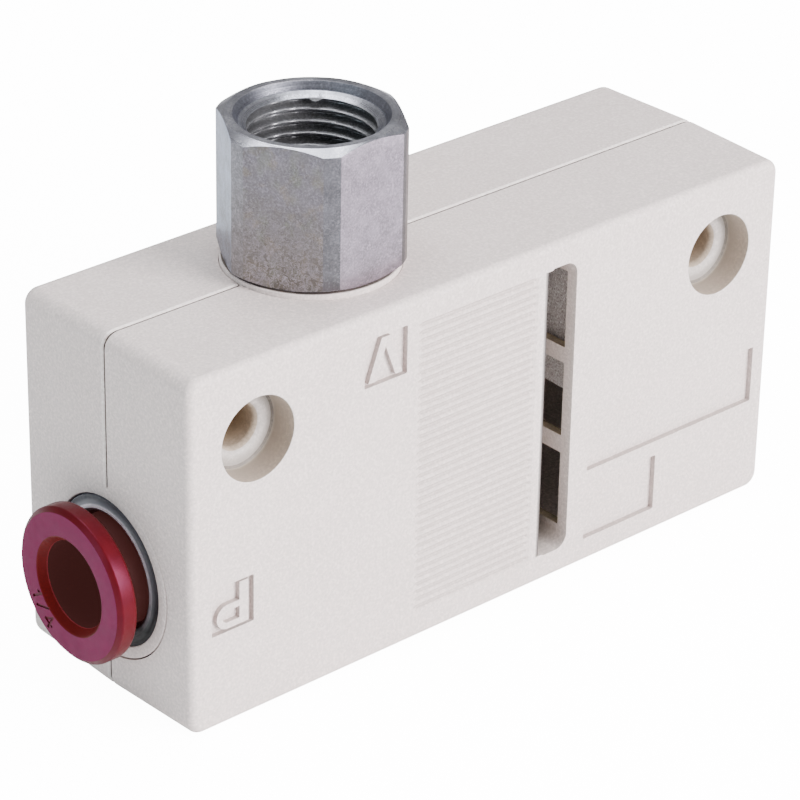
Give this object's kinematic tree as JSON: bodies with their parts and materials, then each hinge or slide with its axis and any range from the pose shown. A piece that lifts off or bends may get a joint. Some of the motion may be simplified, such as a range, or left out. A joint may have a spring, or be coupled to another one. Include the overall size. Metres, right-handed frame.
{
  "type": "vacuum ejector",
  "caption": "Box-shaped vacuum ejector with a push-in supply fitting, a threaded hexagonal vacuum port, a slotted exhaust with felt silencer and two mounting holes.",
  "frame": {"origin": "centre of the bounding box's bottom, under the casing", "axes": "+X along the body away from the supply fitting, -Y out of the marked front face, +Z out of the threaded vacuum port"},
  "size_m": [0.0612, 0.019, 0.0402],
  "materials": {
    "casing": "fine matte moulded resin",
    "white_plastic": "satin moulded resin",
    "red_plastic": "glossy red resin",
    "guide_metal": "polished plated metal",
    "stainless": "bright pressed strip",
    "brass": "turned",
    "nickel": "nickel-plated turned brass",
    "rubber": "smooth",
    "felt": "grey speckled sound-absorbing felt"
  },
  "bodies": {
    "housing": {"rear_casing": "casing", "front_cover": "casing", "fitting_guide": "guide_metal", "chuck": "stainless", "collet": "brass", "tube_seal": "rubber", "fitting_seat": "white_plastic", "seat_oring": "rubber", "nozzle": "brass", "nozzle_oring": "rubber", "diffuser": "white_plastic", "diffuser_oring": "rubber", "port_adapter": "nickel", "port_oring": "rubber", "port_collar": "white_plastic", "silencer_felt": "felt"},
    "release": {"release_ring": "red_plastic"}
  },
  "joints": [
    {"name": "release_slide", "type": "slide", "parent": "housing", "child": "release", "axis": [1, 0, 0], "range_m": [0, 0.0013], "stiffness_N_per_m": 200}
  ]
}
